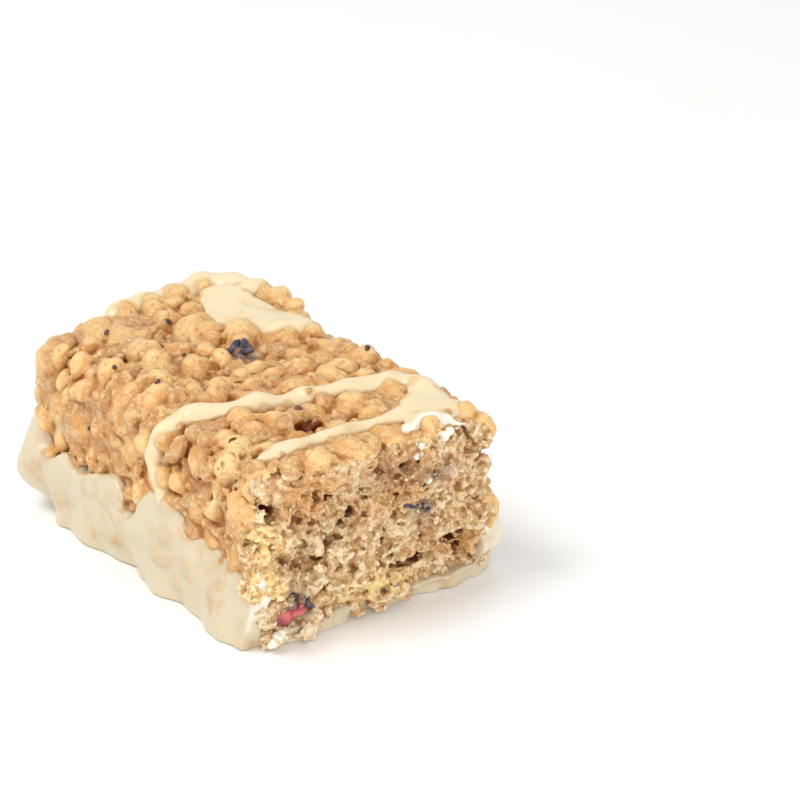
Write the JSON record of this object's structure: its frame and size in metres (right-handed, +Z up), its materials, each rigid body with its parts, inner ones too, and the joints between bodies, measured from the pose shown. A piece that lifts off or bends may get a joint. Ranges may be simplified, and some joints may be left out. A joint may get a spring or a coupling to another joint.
{
  "type": "protein bar half",
  "caption": "Broken half of a crisp protein bar: puffed crisps bound in a block, dipped in a pale yoghurt coating and drizzled on top.",
  "frame": {"origin": "middle of the footprint, on the surface that the coated base rests on", "axes": "+X along the bar towards the broken face, +Z up"},
  "size_m": [0.0559, 0.0365, 0.0247],
  "materials": {
    "crisp": "toasted puffed crisps with a thin syrup shine",
    "coating": "satin yoghurt coating, chalky where it broke"
  },
  "bodies": {
    "root": {"crisp_core": "crisp", "coating": "coating"}
  },
  "joints": []
}
